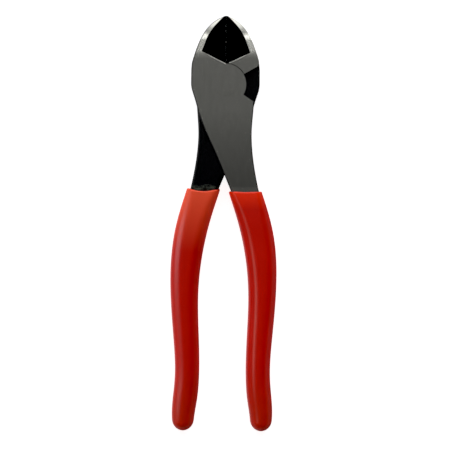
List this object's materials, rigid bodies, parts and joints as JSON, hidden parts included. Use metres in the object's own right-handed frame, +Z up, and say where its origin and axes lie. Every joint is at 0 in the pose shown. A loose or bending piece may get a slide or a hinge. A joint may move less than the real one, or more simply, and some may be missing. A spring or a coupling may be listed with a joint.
{
  "type": "diagonal cutting pliers",
  "caption": "Heavy-duty lap-jointed diagonal cutting pliers with a flush rivet, ground head, black forged arms and dipped vinyl grips.",
  "frame": {"origin": "where the pivot axis meets the flat that the tool lies on, at the underside of the rivet", "axes": "+Y from the pivot to the tip of the jaws, +Z up along the pivot axis, +X towards the front lever's grip"},
  "size_m": [0.0522, 0.2036, 0.012],
  "materials": {
    "tool_steel": "ground and oiled on the faces, black oxide on the forged sides",
    "rivet_steel": "ground flush with the faces",
    "grip_vinyl": "glossy dipped vinyl"
  },
  "bodies": {
    "back_half": {"back_lever": "tool_steel", "pivot_rivet": "rivet_steel", "back_grip": "grip_vinyl"},
    "front_half": {"front_lever": "tool_steel", "front_grip": "grip_vinyl"}
  },
  "joints": [
    {"name": "pivot", "type": "hinge", "parent": "back_half", "child": "front_half", "pos_m": [0, 0, 0.006], "axis": [0, 0, 1], "range_deg": [0, 58]}
  ]
}
